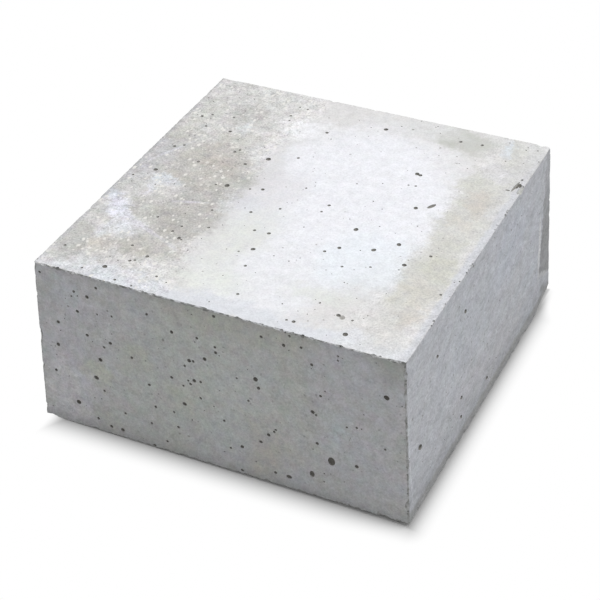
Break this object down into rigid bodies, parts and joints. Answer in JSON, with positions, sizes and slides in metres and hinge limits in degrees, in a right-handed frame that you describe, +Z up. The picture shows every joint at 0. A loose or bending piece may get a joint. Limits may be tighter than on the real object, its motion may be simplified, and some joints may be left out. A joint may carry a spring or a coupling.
{
  "type": "cast concrete paving block",
  "caption": "Square cast concrete paving block with slightly drafted sides, small air voids and worn, chipped arrises, laid face up in paving or edging.",
  "frame": {"origin": "middle of the underside, on the surface that the block is laid on", "axes": "+Z up through the face that shows when laid, +X along the front from left to right, +Y to the back"},
  "size_m": [0.2084, 0.2084, 0.098],
  "materials": {
    "concrete": "matt cast concrete with lime bloom"
  },
  "bodies": {
    "root": {"concrete_block": "concrete"}
  },
  "joints": []
}
